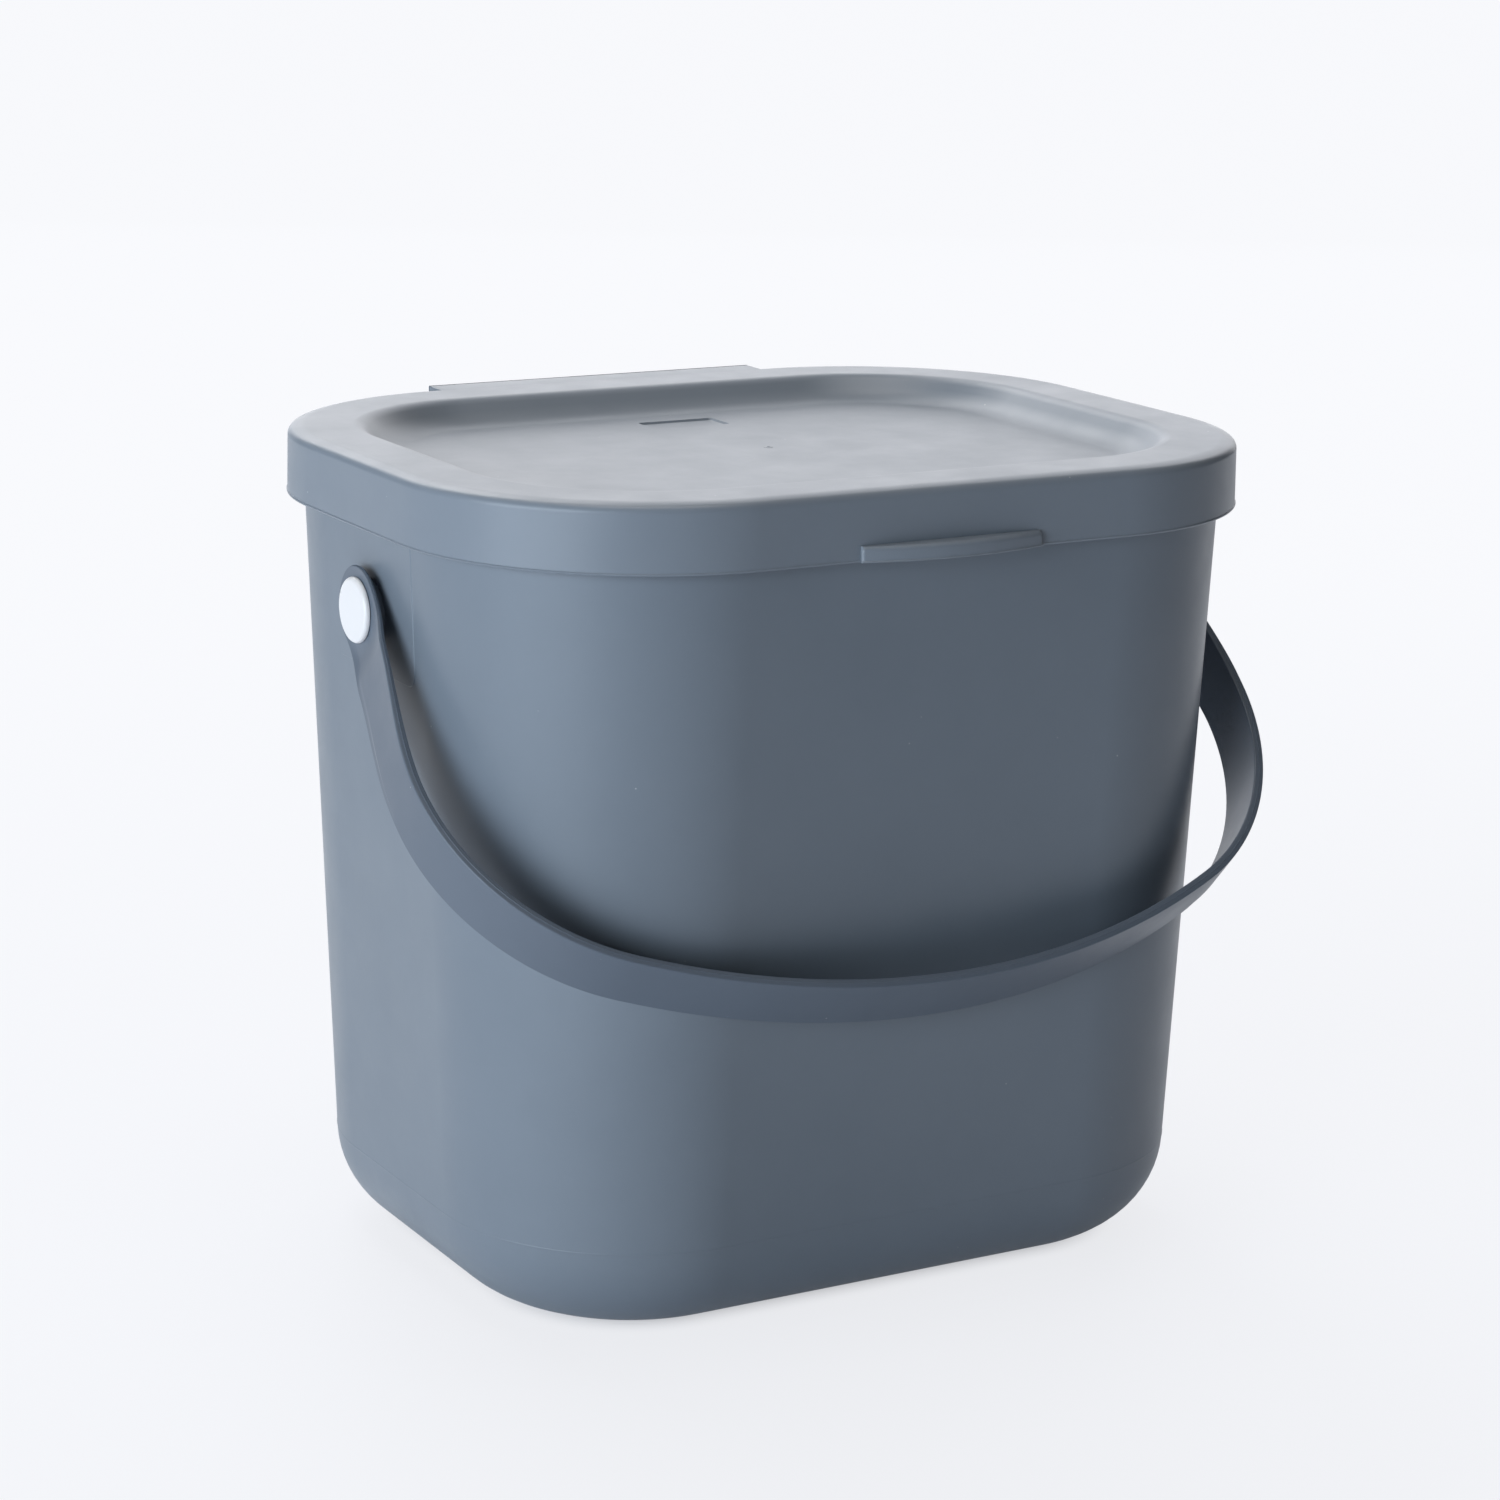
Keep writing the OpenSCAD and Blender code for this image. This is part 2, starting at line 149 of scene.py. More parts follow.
# Handle, drawn flat: u is sideways from its middle, v is away from the pivots, t is through the strap
reach = 126.3
bow_r = 199.8
bail_corner_r = 61.4
arm_out = 4.5
strap_w = 17.2
strap_t = 2
face_h = 0.5
margin_w = 2.4
grip_margin_w = 5
eye_r = 10.8
strap_round = 0.35
strap_lean = 0.14
flash_out = 0.1
flash_w = 0.12
eye_t = 1.1
pad_r = 8
pad_t = 1.1
pad_round = 0.3
arm_t = 1.5
arm_face_h = 0.3
arm_slope = 0.12
arm_tuck = 0.2
arm_ramp_w = 2
grip_ramp_w = 0.4
rest_swing = radians(47.591)

# Pivot pins, and the bosses that they pass
shank_r = 3.5
shank_fit = 0.08
head_r = 8.05
head_t = 1.5
head_round = 1.1
head_chamfer = 0.2
barb_out = 0.8
barb_l = 3.2
slot_w = 1.6
boss_r = 7.2
boss_h = 1.6
boss_round = 0.4
side_gap = 0.3

# What follows from them
slope = tan(draft)
inner_r = corner_r - wall / cos(draft)
top_r = lid_r - skirt_draft
skirt_z = height - skirt_h
panel_r = lid_r - ring_w
panel_z = height - panel_depth
skirt_back = corner_y + lid_r
hood_back = skirt_back + hood_out
pivot = joint_place("handle_swing")
hinge = joint_place("lid_hinge")
hood_z = cad_edge("lid", 0, 2)
clip_r = bar_r + bar_fit + clip_t
boss_face = corner_x + corner_r + pivot.z * slope + boss_h
eye_x = boss_face + side_gap + strap_t / 2
head_face = eye_x + strap_t / 2 + side_gap
arm_u = corner_x + lid_r + arm_out
corner_u = arm_u - bail_corner_r
t_face = strap_t / 2 + face_h
taper_v = 5 * eye_r
bow_v = reach - bow_r
corner_v = bow_v + sqrt((bow_r - bail_corner_r) ** 2 - corner_u ** 2)
foot_v = head_r + 2 * side_gap
arm_v = sqrt((skirt_z - pivot.z) ** 2 - eye_r ** 2)


def wall_r(z):
    """The tub's outer corner radius at a height."""
    return corner_r + z * slope


# ---------------------------------------------------------------- shaping

class Wire:
    """An outline in the XZ plane, drawn by extruding or spinning its last point."""

    def __init__(self, bm, x, z):
        self.bm = bm
        self.start = self.tip = bm.verts.new((x, 0, z))

    def line(self, *points):
        """Draws straight on to each point."""
        for x, z in points:
            self.tip = bmesh.ops.extrude_vert_indiv(self.bm, verts=[self.tip])["verts"][0]
            self.tip.co = (x, 0, z)
        return self

    def arc(self, x, z, angle, steps):
        """Turns the last point about (x, z) by an angle in degrees, anticlockwise from the front."""
        turn = bmesh.ops.spin(self.bm, geom=[self.tip], cent=(x, 0, z), axis=(0, 1, 0),
                              angle=radians(-angle), steps=steps)
        self.tip = turn["geom_last"][0]
        return self

    def close(self):
        """Draws straight back to the first point."""
        self.bm.edges.new((self.tip, self.start))
        return self


def edges_of(geom):
    """The edges in what an operator gives."""
    return [g for g in geom if isinstance(g, bmesh.types.BMEdge)]


def verts_of(geom):
    """The vertices in what an operator gives."""
    return [g for g in geom if isinstance(g, bmesh.types.BMVert)]


def ends_of(edges):
    """The vertices of some edges, each once and always in the same order."""
    return list(dict.fromkeys(v for e in edges for v in e.verts))


def run_out(bm, edges, offset):
    """Extrudes edges by an offset and gives the new ones."""
    new = bmesh.ops.extrude_edge_only(bm, edges=edges)["geom"]
    moved = set(verts_of(new))
    bmesh.ops.translate(bm, verts=list(moved), vec=offset)
    return [e for e in edges_of(new) if e.verts[0] in moved and e.verts[1] in moved]


def turn_round(bm, edges, centre, angle, steps):
    """Spins edges about an upright axis, anticlockwise from above, and gives the last ones."""
    last = bmesh.ops.spin(bm, geom=list(edges) + ends_of(edges), cent=centre, axis=(0, 0, 1),
                          angle=radians(angle), steps=steps)
    return edges_of(last["geom_last"])


def mirrored(bm, axis):
    """Adds the mirror image across an axis and merges the two where they meet."""
    bmesh.ops.mirror(bm, geom=bm.verts[:] + bm.edges[:] + bm.faces[:], axis=axis, merge_dist=0.001)


def sealed(bm):
    """Merges doubles, fills what is open and turns the faces outwards."""
    bmesh.ops.remove_doubles(bm, verts=bm.verts, dist=0.002)
    bmesh.ops.holes_fill(bm, edges=[e for e in bm.edges if e.is_boundary], sides=0)
    bmesh.ops.recalc_face_normals(bm, faces=bm.faces)


def round_plan(bm, section):
    """Carries a half-section round a quarter of the plan and mirrors it twice."""
    bmesh.ops.translate(bm, verts=bm.verts, vec=(corner_x, 0, 0))
    side = run_out(bm, section, (0, corner_y, 0))
    end = turn_round(bm, side, (corner_x, corner_y, 0), 90, 36)
    run_out(bm, end, (-corner_x, 0, 0))
    mirrored(bm, "Y")
    mirrored(bm, "X")
    sealed(bm)


def prism(x0, x1, draw):
    """A closed outline (y, z), drawn by draw(bm), filled and run along X."""
    bm = bmesh.new()
    draw(bm)
    bmesh.ops.rotate(bm, verts=bm.verts, matrix=Matrix.Rotation(radians(90), 3, "Z"))
    bmesh.ops.translate(bm, verts=bm.verts, vec=(x0, 0, 0))
    bmesh.ops.contextual_create(bm, geom=bm.edges[:])
    new = bmesh.ops.extrude_face_region(bm, geom=bm.faces[:])["geom"]
    bmesh.ops.translate(bm, verts=verts_of(new), vec=(x1 - x0, 0, 0))
    bmesh.ops.recalc_face_normals(bm, faces=bm.faces)
    return bm


def lathe(draw, steps=64):
    """A closed solid turned about Z from an outline that draw(bm) starts and ends on the axis."""
    bm = bmesh.new()
    draw(bm)
    bmesh.ops.spin(bm, geom=bm.verts[:] + bm.edges[:], cent=(0, 0, 0), axis=(0, 0, 1), angle=radians(360),
                   steps=steps, use_merge=True)
    sealed(bm)
    return bm


def block(low, high):
    """A box between two corners."""
    bm = bmesh.new()
    bmesh.ops.create_cube(bm, size=1)
    low, high = Vector(low), Vector(high)
    bmesh.ops.scale(bm, verts=bm.verts, vec=high - low)
    bmesh.ops.translate(bm, verts=bm.verts, vec=(low + high) / 2)
    return bm


def joined(base, part, operation="UNION"):
    """Two closed shapes made one, or the second cut out of the first."""
    shapes = []
    for bm in (base, part):
        mesh = bpy.data.meshes.new("working_shape")
        bm.to_mesh(mesh)
        bm.free()
        shapes.append(bpy.data.objects.new("working_shape", mesh))
        bpy.context.collection.objects.link(shapes[-1])
    step = shapes[0].modifiers.new("join", "BOOLEAN")
    step.operation = operation
    step.solver = "EXACT"
    step.object = shapes[1]
    result = bmesh.new()
    result.from_object(shapes[0], bpy.context.evaluated_depsgraph_get())
    for shape in shapes:
        bpy.data.meshes.remove(shape.data)
    bmesh.ops.remove_doubles(result, verts=result.verts, dist=0.004)
    bmesh.ops.dissolve_degenerate(result, edges=result.edges, dist=0.002)
    return result


def soften(bm, width, chosen, segments=3):
    """Rounds the edges that chosen(edge) picks."""
    bmesh.ops.bevel(bm, geom=[e for e in bm.edges if chosen(e)], offset=width, offset_type="OFFSET",
                    affect="EDGES", segments=segments, profile=0.5, material=-1)


def piece(name, bm, body, material, replaces):
    """Turns a finished mesh into metres and gives it its place, body and finish."""
    bmesh.ops.scale(bm, verts=bm.verts, vec=(MM, MM, MM))
    mesh = bpy.data.meshes.new(name)
    bm.to_mesh(mesh)
    bm.free()
    mesh.shade_smooth()
    mesh.set_sharp_from_angle(angle=radians(32))
    mesh.materials.append(material)
    thing = bpy.data.objects.new(name, mesh)
    bpy.context.collection.objects.link(thing)
    even = thing.modifiers.new("even_shading", "WEIGHTED_NORMAL")
    even.keep_sharp = True
    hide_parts(replaces)
    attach(thing, body)
    return thing


# ---------------------------------------------------------------- finishes

dust_grey = (0.6, 0.62, 0.65, 1)


def feed(tree, value, socket):
    """Gives a socket a number or a colour, or the output of a node."""
    if isinstance(value, bpy.types.Node):
        value = next(output for output in value.outputs if output.enabled)
    if isinstance(value, bpy.types.NodeSocket):
        tree.links.new(value, socket)
    else:
        socket.default_value = value


def node(tree, kind, *terms, **inputs):
    """Adds a node. Names are its settings, given first, or its sockets; terms feed its sockets in turn."""
    new = tree.nodes.new(kind)
    for key, value in inputs.items():
        if hasattr(new, key):
            setattr(new, key, value)
        else:
            feed(tree, value, new.inputs[key.replace("_", " ")])
    for socket, term in zip(new.inputs, terms):
        feed(tree, term, socket)
    return new


def maths(tree, operation, first, second):
    """One step of arithmetic."""
    return node(tree, "ShaderNodeMath", first, second, operation=operation)


def graded(tree, value, start, end, first, last, easing="LINEAR"):
    """Runs from a first result to a last one as a value goes from start to end."""
    return node(tree, "ShaderNodeMapRange", value, interpolation_type=easing, From_Min=start, From_Max=end,
                To_Min=first, To_Max=last)


def noise(tree, place, scale, detail):
    """Random mottling; a higher scale is finer."""
    return node(tree, "ShaderNodeTexNoise", place, Scale=scale, Detail=detail, Roughness=0.65)


def marks(tree, place, scale, share, size, strength):
    """Small spots in a share of a pattern's cells, each of its own size."""
    cells = node(tree, "ShaderNodeTexVoronoi", place, feature="F1", Scale=scale)
    chance = node(tree, "ShaderNodeSeparateColor", cells.outputs["Color"])
    sized = maths(tree, "DIVIDE", cells.outputs["Distance"], chance.outputs["Green"])
    spot = graded(tree, sized, size / 2, size, strength, 0)
    return maths(tree, "MULTIPLY", spot, maths(tree, "GREATER_THAN", chance.outputs["Red"], 1 - share))


def blank_material(name):
    """A new material, with its node tree and shader."""
    material = bpy.data.materials.new(name)
    material.use_nodes = True
    return material, material.node_tree, material.node_tree.nodes["Principled BSDF"]


def moulded_plastic(name, light, dark, roughness=0.38, grain=0.03):
    """Injection-moulded plastic: faint flow clouding, a fine satin grain, dust specks and light scuffs."""
    material, tree, shader = blank_material(name)
    place = node(tree, "ShaderNodeTexCoord").outputs["Object"]

    clouds = node(tree, "ShaderNodeValToRGB", noise(tree, place, scale=22, detail=8))
    for stop, position, colour in zip(clouds.color_ramp.elements, (0.3, 0.7), (dark, light)):
        stop.position = position
        stop.color = colour

    drawn_out = node(tree, "ShaderNodeMapping", place, Rotation=(0.5, 0.3, 0), Scale=(30, 30, 420))
    specks = marks(tree, place, scale=330, share=0.05, size=0.10, strength=0.55)
    scuffs = marks(tree, drawn_out, scale=1, share=0.03, size=0.12, strength=0.14)
    finish = clouds
    for mark in (specks, scuffs):
        finish = node(tree, "ShaderNodeMix", data_type="RGBA", Factor=mark, A=finish, B=dust_grey)

    patches = noise(tree, place, scale=60, detail=4)
    sheen = graded(tree, patches, 0.3, 0.7, roughness - 0.04, roughness + 0.04)
    pebble = noise(tree, place, scale=1600, detail=3)
    bump = node(tree, "ShaderNodeBump", Height=pebble, Strength=grain, Distance=0.4 * MM)
    for socket, value in (("Base Color", finish), ("Roughness", sheen), ("Normal", bump), ("IOR", 1.49)):
        feed(tree, value, shader.inputs[socket])
    return material


slate = moulded_plastic("slate_polypropylene", (0.200, 0.234, 0.275, 1), (0.186, 0.219, 0.259, 1))
# The lid's copy of the same slate is painted lighter, standing in for the light that its top catches.
lid_slate_painted_lighter = moulded_plastic("slate_polypropylene_lid_painted_lighter", (0.224, 0.258, 0.300, 1), (0.210, 0.243, 0.285, 1))
# The bail's copy of the same slate is painted darker, standing in for the shade that it sits in.
bail_slate_painted_darker = moulded_plastic("slate_polypropylene_bail_painted_darker", (0.131, 0.159, 0.199, 1), (0.122, 0.149, 0.188, 1))
pin_white = moulded_plastic("white_acetal", (0.87, 0.845, 0.835, 1), (0.845, 0.82, 0.81, 1), 0.30, 0.01)


# ---------------------------------------------------------------- tub

def tub_shell():
    """Drafted wall with a rounded floor edge, a fine parting line above it and a thicker rim."""
    bm = bmesh.new()
    lean = degrees(draft)
    edge_x = corner_r + floor_r * slope - floor_r / cos(draft)
    inner_edge_r = floor_r - wall
    inner_edge_z = floor_t + inner_edge_r
    inner_edge_x = inner_r + inner_edge_z * slope - inner_edge_r / cos(draft)
    shelf_z = rim_z - bead_h
    rim_r = wall_r(rim_z) + bead_out
    rim_inner = inner_r + rim_z * slope
    outline = Wire(bm, 0, 0).line((edge_x, 0)).arc(edge_x, floor_r, 90 - lean, 16)
    outline.line((wall_r(parting_z - parting_half_w), parting_z - parting_half_w),
                 (wall_r(parting_z) + parting_out, parting_z),
                 (wall_r(parting_z + parting_half_w), parting_z + parting_half_w),
                 (wall_r(shelf_z), shelf_z),
                 (rim_r, shelf_z),
                 (rim_r, rim_z - rim_round))
    outline.arc(rim_r - rim_round, rim_z - rim_round, 90, 5)
    outline.line((rim_inner + rim_round, rim_z)).arc(rim_inner + rim_round, rim_z - rim_round, 90, 5)
    outline.line((inner_edge_x + inner_edge_r * cos(draft), inner_edge_z - inner_edge_r * sin(draft)))
    outline.arc(inner_edge_x, inner_edge_z, -(90 - lean), 14).line((0, floor_t))
    round_plan(bm, bm.edges[:])
    return bm


def hinge_ear(x):
    """A web from the wall to the bar, with a round end."""
    end_r = bar_r + ear_proud
    start = radians(-ear_sweep / 2)
    root_y = hinge.y - ear_root - wall / 2

    def draw(bm):
        web = Wire(bm, root_y, hinge.z).line((hinge.y + end_r * cos(start), hinge.z + end_r * sin(start)))
        web.arc(hinge.y, hinge.z, ear_sweep, 20).line((root_y, hinge.z + ear_top)).close()

    bm = prism(x - ear_t / 2, x + ear_t / 2, draw)
    soften(bm, ear_round, lambda e: abs(e.verts[0].co.x - e.verts[1].co.x) < near
           and max(v.co.y for v in e.verts) > root_y + 0.5, 2)
    return bm


def side_boss(side):
    """The boss that the handle's eye stands off on."""
    root = -boss_h - wall / 2
    bm = lathe(lambda b: Wire(b, 0, root).line((boss_r, root), (boss_r, -boss_round))
               .arc(boss_r - boss_round, -boss_round, 90, 4).line((0, 0)))
    aim(bm, side, boss_face)
    return bm


def aim(bm, side, x):
    """Lays a shape that was turned about Z along a pivot, with its origin at x on that side."""
    bmesh.ops.rotate(bm, verts=bm.verts, matrix=Matrix.Rotation(radians(side * 90), 3, "Y"))
    bmesh.ops.translate(bm, verts=bm.verts, vec=(side * x, pivot.y, pivot.z))


def rod(radius, length, steps=48):
    """A plain round bar up from the origin."""
    return lathe(lambda b: Wire(b, 0, 0).line((radius, 0), (radius, length), (0, length)), steps)


def slide_mark(side):
    """The area round the pivot that the mould's side slide shapes: a hair proud of the wall, U-shaped."""
    top = rim_z - bead_h + 0.1
    centre_y = slide_half_w - slide_corner_r
    centre_z = slide_low_z + slide_corner_r

    def draw(bm):
        edge = Wire(bm, -slide_half_w, top).line((-slide_half_w, centre_z)).arc(-centre_y, centre_z, 90, 8)
        edge.line((centre_y, slide_low_z)).arc(centre_y, centre_z, 90, 8).line((slide_half_w, top)).close()

    face_x = corner_x + corner_r + slide_out
    bm = prism(face_x - wall / 2, face_x, draw)
    soften(bm, slide_out, lambda e: all(v.co.x > face_x - near for v in e.verts)
           and min(v.co.z for v in e.verts) < top - 0.1, 1)
    upright = Matrix(((1, 0, slope), (0, 1, 0), (0, 0, 1)))
    bmesh.ops.transform(bm, verts=bm.verts, matrix=upright.to_4x4())
    bmesh.ops.scale(bm, verts=bm.verts, vec=(side, 1, 1))
    bmesh.ops.recalc_face_normals(bm, faces=bm.faces)
    return bm


def gate_stub(radius, rise, place, up=1):
    """What a broken-off runner leaves: a small round stub with a softened rim."""
    root = -0.5
    bm = lathe(lambda b: Wire(b, 0, root).line((radius, root), (radius, rise / 2), (radius * 0.7, rise),
                                               (0, rise)), 24)
    bmesh.ops.rotate(bm, verts=bm.verts, matrix=Matrix.Rotation(radians(90 - 90 * up), 3, "X"))
    bmesh.ops.translate(bm, verts=bm.verts, vec=place)
    return bm


def gate_dimple():
    """The cutter for the dimple round the gate, under the floor."""
    low = -2
    return lathe(lambda b: Wire(b, 0, low).line((gate_dimple_r, low), (gate_dimple_r, 0),
                                                (gate_dimple_r - gate_dimple_ramp_w, gate_dimple_depth),
                                                (0, gate_dimple_depth)))


def build_tub():
    """The whole moulding: tub, gate, hinge bar on its ears, slide marks, bosses and bores."""
    bm = joined(tub_shell(), gate_dimple(), "DIFFERENCE")
    bm = joined(bm, gate_stub(radius=1, rise=0.35, place=(0, 0, gate_dimple_depth), up=-1))
    bar = rod(bar_r, 2 * ear_x)
    bmesh.ops.rotate(bar, verts=bar.verts, matrix=Matrix.Rotation(radians(90), 3, "Y"))
    bmesh.ops.translate(bar, verts=bar.verts, vec=(-ear_x, hinge.y, hinge.z))
    for x in (-ear_x, 0, ear_x):
        bar = joined(bar, hinge_ear(x))
    bm = joined(bm, bar)
    for side in (-1, 1):
        bm = joined(bm, slide_mark(side))
        bm = joined(bm, side_boss(side))
        bore = rod(shank_r + shank_fit, boss_face - corner_x + 5)
        aim(bore, side, corner_x)
        bm = joined(bm, bore, "DIFFERENCE")
    return bm


piece("bucket_tub", build_tub(), "bucket", slate, "bucket")


# ---------------------------------------------------------------- lid

def lid_shell():
    """Skirt, rounded edge, flat ring and the recessed panel with a hollow foot."""
    bm = bmesh.new()
    slant = degrees(panel_slope)
    foot_z = panel_z + panel_foot_r
    foot_x = panel_r - (height - foot_z) * tan(panel_slope) - panel_foot_r / cos(panel_slope)
    under_r = panel_foot_r + plate_t
    under_edge = panel_r + plate_t / cos(panel_slope)
    outline = Wire(bm, 0, panel_z).line((foot_x, panel_z)).arc(foot_x, foot_z, 90 - slant, 10)
    lip_back = panel_lip_r * tan((radians(90) - panel_slope) / 2)
    outline.line((panel_r - lip_back * sin(panel_slope), height - lip_back * cos(panel_slope)))
    outline.arc(panel_r + lip_back, height - panel_lip_r, -(90 - slant), 6)
    edge_x = top_r - lid_edge_r
    edge_z = height - lid_crown_r + (lid_crown_r - lid_edge_r) * cos(radians(lid_crown_angle))
    crown_x = edge_x - (lid_crown_r - lid_edge_r) * sin(radians(lid_crown_angle))
    outline.line((crown_x, height)).arc(crown_x, height - lid_crown_r, -lid_crown_angle, 5)
    outline.arc(edge_x, edge_z, lid_crown_angle - 90, 9)
    lip_z = skirt_z + skirt_lip_h
    outline.line((lid_r - skirt_lip, lip_z + skirt_lip_ramp_h), (lid_r, lip_z))
    outline.arc(lid_r - skirt_lip_h, lip_z, -90, 3)
    outline.line((lid_r - skirt_t + skirt_inner_edge, skirt_z),
                 (lid_r - skirt_t, skirt_z + skirt_inner_edge),
                 (lid_r - skirt_t - skirt_draft, height - plate_t),
                 (under_edge - plate_t * tan(panel_slope), height - plate_t))
    outline.line((foot_x + under_r * sin(radians(90 - slant)), foot_z - under_r * cos(radians(90 - slant))))
    outline.arc(foot_x, foot_z, -(90 - slant), 10).line((0, panel_z - plate_t))
    round_plan(bm, bm.edges[:])
    return bm


def lifting_tab():
    """A shallow arc that stands out from the foot of the skirt, its ends rounded off."""
    half = tab_w / 2
    sag = tab_out - tab_end_out
    arc_r = (half * half + sag * sag) / (2 * sag)
    sweep = degrees(asin(half / arc_r))
    root_y = -skirt_back + skirt_t / 2
    bm = bmesh.new()
    face_r = arc_r - skirt_lip
    outline = Wire(bm, arc_r - tab_root, 0).line((arc_r - tab_foot_round, 0))
    outline.arc(arc_r - tab_foot_round, tab_foot_round, 90, 2)
    outline.line((face_r, tab_foot_h), (face_r, tab_h - tab_round))
    outline.arc(face_r - tab_round, tab_h - tab_round, 90, 8).line((arc_r - tab_root, tab_h)).close()
    bmesh.ops.rotate(bm, verts=bm.verts, matrix=Matrix.Rotation(radians(270 - sweep), 3, "Z"))
    turn_round(bm, bm.edges[:], (0, 0, 0), 2 * sweep, 40)
    sealed(bm)
    bmesh.ops.translate(bm, verts=bm.verts, vec=(0, -skirt_back - tab_out + arc_r, skirt_z + tab_lift))
    bmesh.ops.bisect_plane(bm, geom=bm.verts[:] + bm.edges[:] + bm.faces[:], plane_co=(0, root_y, 0),
                           plane_no=(0, 1, 0), clear_outer=True)
    sealed(bm)
    corner = half - 0.5
    soften(bm, tab_end_round, lambda e: e.calc_face_angle() > radians(50) and all(
        abs(v.co.x) > corner and v.co.y < -skirt_back and v.co.z > skirt_z + tab_foot_h for v in e.verts), 4)
    return bm


def hood():
    """The hood's back wall, top and cheeks, open at the bottom."""
    front = skirt_back - skirt_t / 2 - skirt_draft
    below = hinge.y - bar_r / 2
    inside = height - plate_t
    lap = front - hood_overlap

    def draw(bm):
        Wire(bm, lap, inside).line((lap, height), (hood_back, height), (hood_back, hood_z), (below, hood_z),
                                   (below, skirt_z), (front, skirt_z), (front, inside)).close()

    half = hood_w / 2
    bm = prism(-half, half, draw)
    soften(bm, hood_round, lambda e: all(v.co.y > hood_back - near for v in e.verts)
           and max(v.co.z for v in e.verts) > hood_z + 1, 5)
    soften(bm, hood_top_round,
           lambda e: all(abs(v.co.x) > half - near and v.co.z > height - near for v in e.verts), 4)
    ahead = 50  # anywhere in front of the hood
    room = block((hood_t - half, ahead, 0), (half - hood_t, hood_back - hood_t, inside))
    return joined(bm, room, "DIFFERENCE")


def clip(x):
    """A C-clip that springs open to pass the bar, hung from the hood between two gussets."""
    inner = bar_r + bar_fit
    web = skirt_t / 2
    back = hood_back - hood_t / 2 - hinge.y
    top = skirt_z - hinge.z + web
    left = degrees(acos(-web / clip_r))
    right = degrees(acos(back / clip_r))
    start = radians(mouth_angle - 90)

    def draw(bm):
        ring = Wire(bm, hinge.y + inner * cos(start), hinge.z + inner * sin(start))
        ring.arc(hinge.y, hinge.z, 360 - 2 * mouth_angle, 26)
        ring.line((hinge.y - clip_r * cos(start), hinge.z + clip_r * sin(start)))
        ring.arc(hinge.y, hinge.z, left - 270 + mouth_angle, 12)
        ring.line((hinge.y - web, hinge.z + top), (hinge.y + back, hinge.z + top),
                  (hinge.y + back, hinge.z + sqrt(clip_r ** 2 - back ** 2)))
        ring.arc(hinge.y, hinge.z, mouth_angle - 90 - right, 8)
        ring.close()

    return prism(x - clip_w / 2, x + clip_w / 2, draw)


def gusset(x):
    """A web across the hood at one side of a clip."""
    front = skirt_back - skirt_t / 2 - skirt_draft
    return block((x - hood_t / 2, front, skirt_z + gusset_lift),
                 (x + hood_t / 2, hood_back - hood_t / 2, height - plate_t / 2))


def pocket_cutter():
    """The bare shallow pocket in the panel, with rounded corners and a sloped side."""
    x, y = pocket["x"], pocket["y"]
    half_w, half_l = pocket["width"] / 2, pocket["length"] / 2
    bm = block((x - half_w, y - half_l, panel_z - pocket["depth"]), (x + half_w, y + half_l, panel_z + 0.02))
    soften(bm, pocket["round"], lambda e: abs(e.verts[0].co.z - e.verts[1].co.z) > pocket["depth"] / 2, 4)
    bmesh.ops.scale(bm, verts=[v for v in bm.verts if v.co.z < panel_z], vec=(*pocket["taper"], 1),
                    space=Matrix.Translation((-x, -y, 0)))
    return bm


def build_lid():
    """The whole moulding: lid, tab, hood, the two clips between their gussets, gate and pocket."""
    bm = joined(lid_shell(), lifting_tab())
    bm = joined(bm, hood())
    clip_x = ear_x / 2
    for side in (-1, 1):
        bm = joined(bm, clip(side * clip_x))
        for end in (-1, 1):
            bm = joined(bm, gusset(side * clip_x + end * (clip_w - hood_t) / 2))
    for radius, rise in ((1.2, 0.08), (0.45, 0.2)):
        bm = joined(bm, gate_stub(radius, rise, (*lid_gate, panel_z)))
    return joined(bm, pocket_cutter(), "DIFFERENCE")


piece("lid_with_hood", build_lid(), "lid", lid_slate_painted_lighter, "lid")


# ---------------------------------------------------------------- handle

# The strap's section has these parts: the raised outer face, the front edge's parting line, the
# inner face, the back edge's parting line, the margin, and the ramp from the margin to the face.
# The ramp has a level twin at the front, so that both halves of the eye are alike
FACE, FRONT_LINE, INNER, BACK_LINE, MARGIN, RAMP, LEVEL_RAMP = range(7)


def eased(value, low, high):
    """Goes smoothly from 0 to 1 as the value goes from low to high."""
    share = min(max((value - low) / (high - low), 0), 1)
    return share * share * (3 - 2 * share)


def bend(value, start, end):
    """A smooth curve through two places, each given as (value, height, slope)."""
    (x0, y0, m0), (x1, y1, m1) = start, end
    run = x1 - x0
    share = (value - x0) / run
    return (y0 + (y1 - y0) * share * share * (3 - 2 * share) + run * m0 * share * (1 - share) ** 2
            - run * m1 * share * share * (1 - share))


def arm_faces(away):
    """How far out the arm's inner and outer faces are at a distance from the pivot."""
    clear = skirt_z - pivot.z
    skirt_side = corner_x + lid_r + side_gap
    eye_side = boss_face + side_gap + pad_t
    arm_side = skirt_side - arm_tuck
    inner = ((foot_v, eye_side, 0), (clear, arm_side, arm_slope), (corner_v, arm_u - strap_t / 2, 0))
    outer = ((foot_v, eye_side + eye_t, 0), (clear, arm_side + arm_t, arm_slope),
             (corner_v, arm_u + t_face, 0))
    away = min(max(away, foot_v), corner_v)
    first = 0 if away < clear else 1
    return tuple(bend(away, *face[first:first + 2]) for face in (inner, outer))


